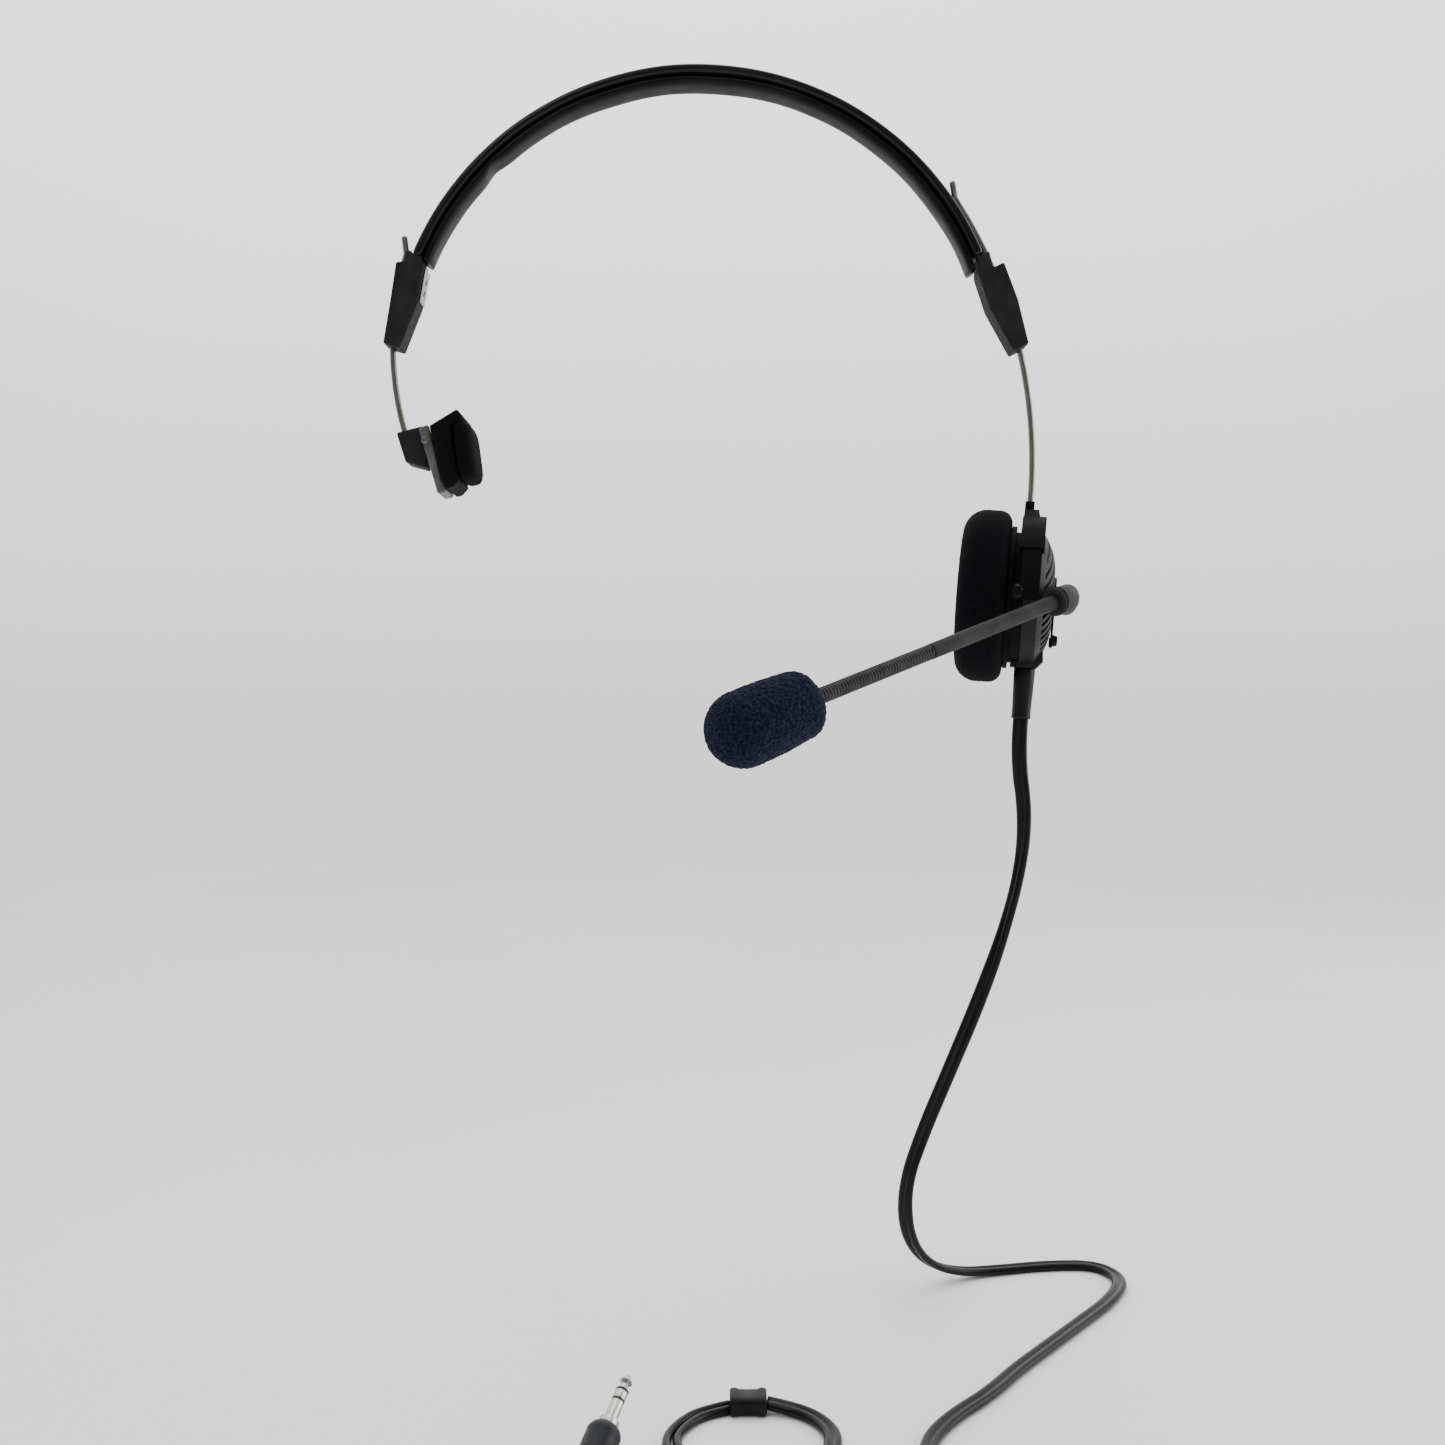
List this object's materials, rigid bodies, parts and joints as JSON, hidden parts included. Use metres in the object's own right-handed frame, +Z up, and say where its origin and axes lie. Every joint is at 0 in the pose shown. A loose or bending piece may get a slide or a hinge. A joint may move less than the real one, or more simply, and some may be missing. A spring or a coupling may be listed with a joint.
{
  "type": "headset microphone",
  "caption": "Single-sided headset: sprung band, open foam earphone with swivelling gooseneck boom microphone, temple pad, flat twin cord with 3.5 mm plugs.",
  "frame": {"origin": "the middle of the headband's underside, where it rests on the crown of the head", "axes": "+X to the wearer's left (the earphone side), +Y to the back of the head, +Z up"},
  "size_m": [0.2488, 0.2122, 0.4072],
  "materials": {
    "vinyl": "black semi-gloss vinyl",
    "clip": "moulded charcoal plastic, fine texture",
    "spring_steel": "plain spring steel",
    "wire": "nickel-plated spring wire",
    "black_plastic": "black moulded plastic, satin",
    "shell": "dark grey moulded plastic",
    "foam": "fine-pored black foam",
    "windscreen": "coarse-pored navy foam",
    "boom_grey": "matte dark grey rubber",
    "gooseneck": "ribbed dark grey sleeve",
    "nickel": "nickel plate",
    "insulator": "black insulating plastic",
    "handle": "black moulded plastic",
    "cord": "black PVC, glossy",
    "copper": "enamelled copper",
    "ferrite": "sintered ferrite",
    "board": "green circuit board",
    "film": "clear polyester film",
    "felt": "grey felt",
    "rubber_black": "black rubber"
  },
  "bodies": {
    "headband": {"spring_anchor": "spring_steel", "headband_spring": "spring_steel", "headband_sleeve": "vinyl", "headband_pad": "vinyl", "slider_clip_temple": "clip", "slider_clip_ear": "clip"},
    "temple_slider": {"temple_wire": "wire", "temple_block": "clip"},
    "temple_pad": {"temple_plate": "clip", "temple_holder": "black_plastic", "temple_cushion": "foam", "temple_pin": "wire"},
    "ear_slider": {"ear_wire": "wire"},
    "yoke": {"yoke": "black_plastic", "yoke_pins": "black_plastic"},
    "earphone": {"ear_baffle": "black_plastic", "ear_foam": "foam", "ear_shell": "shell", "shell_screws": "nickel", "driver_frame": "spring_steel", "driver_magnet": "ferrite", "driver_pole_plate": "spring_steel", "voice_coil": "copper", "driver_diaphragm": "film", "felt_damper": "felt", "terminal_board": "board", "hub_plate": "black_plastic", "strain_relief": "rubber_black", "cord_twin": "cord", "cord_coil": "cord", "cord_tail": "cord", "lead_a": "cord", "lead_b": "cord", "cord_slider": "rubber_black", "plug_a_handle": "handle", "plug_a_insulators": "insulator", "plug_a_relief": "rubber_black", "plug_a_ring": "nickel", "plug_a_sleeve": "nickel", "plug_a_tip": "nickel", "plug_b_handle": "handle", "plug_b_insulators": "insulator", "plug_b_relief": "rubber_black", "plug_b_ring": "nickel", "plug_b_sleeve": "nickel", "plug_b_tip": "nickel"},
    "boom": {"boom_elbow": "boom_grey", "boom_collar": "boom_grey", "hub_screw": "nickel", "hub_washer": "spring_steel", "boom_tube": "boom_grey", "gooseneck_root": "gooseneck"},
    "neck_1": {"gooseneck_1": "gooseneck"},
    "neck_2": {"gooseneck_2": "gooseneck"},
    "neck_3": {"gooseneck_3": "gooseneck", "mic_housing": "black_plastic", "mic_capsule": "nickel", "windscreen": "windscreen"}
  },
  "joints": [
    {"name": "temple_wire_slide", "type": "hinge", "parent": "headband", "child": "temple_slider", "pos_m": [0.0041, 0, -0.0837], "axis": [0, 1, 0], "range_deg": [-2, 11]},
    {"name": "temple_pad_tilt", "type": "hinge", "parent": "temple_slider", "child": "temple_pad", "pos_m": [-0.0878, 0, -0.1158], "axis": [0, 1, 0], "range_deg": [-15, 15]},
    {"name": "ear_wire_slide", "type": "hinge", "parent": "headband", "child": "ear_slider", "pos_m": [-0.0471, 0, -0.1208], "axis": [0, 1, 0], "range_deg": [-14, 7]},
    {"name": "yoke_swivel", "type": "hinge", "parent": "ear_slider", "child": "yoke", "pos_m": [0.10773, 0, -0.14146], "axis": [0.1323, 0, 0.9912], "range_deg": [-15, 25]},
    {"name": "earphone_tilt", "type": "hinge", "parent": "yoke", "child": "earphone", "pos_m": [0.10428, -0.00019, -0.16607], "axis": [0.2079, 0.9781, 0], "range_deg": [-7, 7]},
    {"name": "boom_swivel", "type": "hinge", "parent": "earphone", "child": "boom", "pos_m": [0.1034, 0, -0.166], "axis": [0.9751, -0.2073, -0.0785], "range_deg": [-24, 50]},
    {"name": "neck_bend_1", "type": "hinge", "parent": "boom", "child": "neck_1", "pos_m": [0.06165, -0.07264, -0.1887], "axis": [-0.2047, -0.1883, 0.9605], "range_deg": [-12, 12]},
    {"name": "neck_bend_2", "type": "hinge", "parent": "neck_1", "child": "neck_2", "pos_m": [0.05069, -0.08272, -0.19301], "axis": [-0.2047, -0.1883, 0.9605], "range_deg": [-12, 12]},
    {"name": "neck_bend_3", "type": "hinge", "parent": "neck_2", "child": "neck_3", "pos_m": [0.03973, -0.0928, -0.19732], "axis": [-0.2047, -0.1883, 0.9605], "range_deg": [-12, 12]}
  ],
  "couplings": [
    {"joint": "neck_bend_2", "follows": "neck_bend_1", "ratio": 1},
    {"joint": "neck_bend_3", "follows": "neck_bend_1", "ratio": 1}
  ]
}
